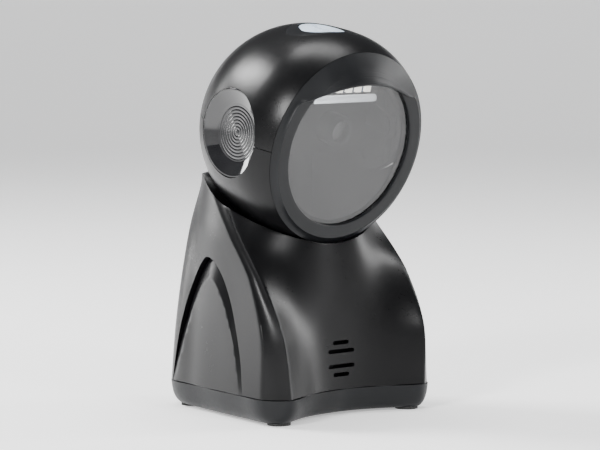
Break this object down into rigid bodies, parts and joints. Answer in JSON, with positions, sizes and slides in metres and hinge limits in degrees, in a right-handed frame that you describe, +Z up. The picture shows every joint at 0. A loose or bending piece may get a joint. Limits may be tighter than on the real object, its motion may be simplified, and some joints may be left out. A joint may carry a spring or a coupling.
{
  "type": "presentation barcode scanner",
  "caption": "Hands-free barcode scanner: a ball-shaped head with a smoked round window and a top button, tilting in the cradle of a winged pedestal base.",
  "frame": {"origin": "under the middle of the whole scanner's box, on the surface that the feet stand on", "axes": "+Z up, -Y the way the window faces, +X to the right of a person who faces the window; left and right in the node names are as that person sees them"},
  "size_m": [0.086, 0.0904, 0.1514],
  "materials": {
    "cover_plastic": "fine satin grain, moulded",
    "tray_plastic": "smooth satin, moulded",
    "shell_plastic": "fine satin grain, moulded",
    "bezel_plastic": "smooth satin, moulded",
    "cap_plastic": "piano black",
    "window_tint": "smoked, polished",
    "button_plastic": "pale translucent, polished",
    "foam": "closed-cell foam",
    "foot_rubber": "soft moulded rubber",
    "steel": "plated steel",
    "ballast_steel": "black-painted steel plate",
    "nylon": "natural nylon",
    "frame_plastic": "black glass-filled plastic",
    "circuit_board": "dark blue solder mask",
    "chip_plastic": "moulded package",
    "lamp_plastic": "white package",
    "clear_rod": "clear, polished",
    "lens_glass": "coated lens",
    "lens_metal": "black anodised"
  },
  "bodies": {
    "base": {"base_cover": "cover_plastic", "base_tray": "tray_plastic", "rubber_feet": "foot_rubber", "base_screws": "steel", "ballast_plate": "ballast_steel", "ballast_screws": "steel", "interface_board": "circuit_board", "cable_socket": "frame_plastic", "board_pillars": "nylon", "speaker": "frame_plastic", "speaker_holder": "frame_plastic", "neck_post": "frame_plastic", "neck_screws": "steel", "tilt_axle": "steel", "friction_washers": "nylon", "axle_nuts": "steel"},
    "head": {"axle_bushes": "nylon", "head_upper_shell": "shell_plastic", "head_lower_shell": "shell_plastic", "head_screws": "steel", "left_pivot_cap": "cap_plastic", "right_pivot_cap": "cap_plastic", "front_bezel": "bezel_plastic", "window_pane": "window_tint", "window_gasket": "foam", "button_well": "bezel_plastic", "button_spring": "steel", "button_switch": "frame_plastic", "switch_board": "circuit_board", "optics_frame": "frame_plastic", "camera_board": "circuit_board", "image_sensor": "chip_plastic", "lens_barrel": "lens_metal", "lens_element": "lens_glass", "led_board": "circuit_board", "led_chips": "lamp_plastic", "light_bar": "clear_rod", "light_bar_posts": "frame_plastic", "decoder_board": "circuit_board", "decoder_chips": "chip_plastic"},
    "button": {"trigger_button": "button_plastic"}
  },
  "joints": [
    {"name": "head_tilt", "type": "hinge", "parent": "base", "child": "head", "pos_m": [0, -0.008, 0.1101], "axis": [1, 0, 0], "range_deg": [-25, 10]},
    {"name": "button_press", "type": "slide", "parent": "head", "child": "button", "axis": [0, 0.2588, -0.9659], "range_m": [0, 0.0008], "stiffness_N_per_m": 900, "springref_m": -0.0008, "deforming": ["button_spring"]}
  ]
}
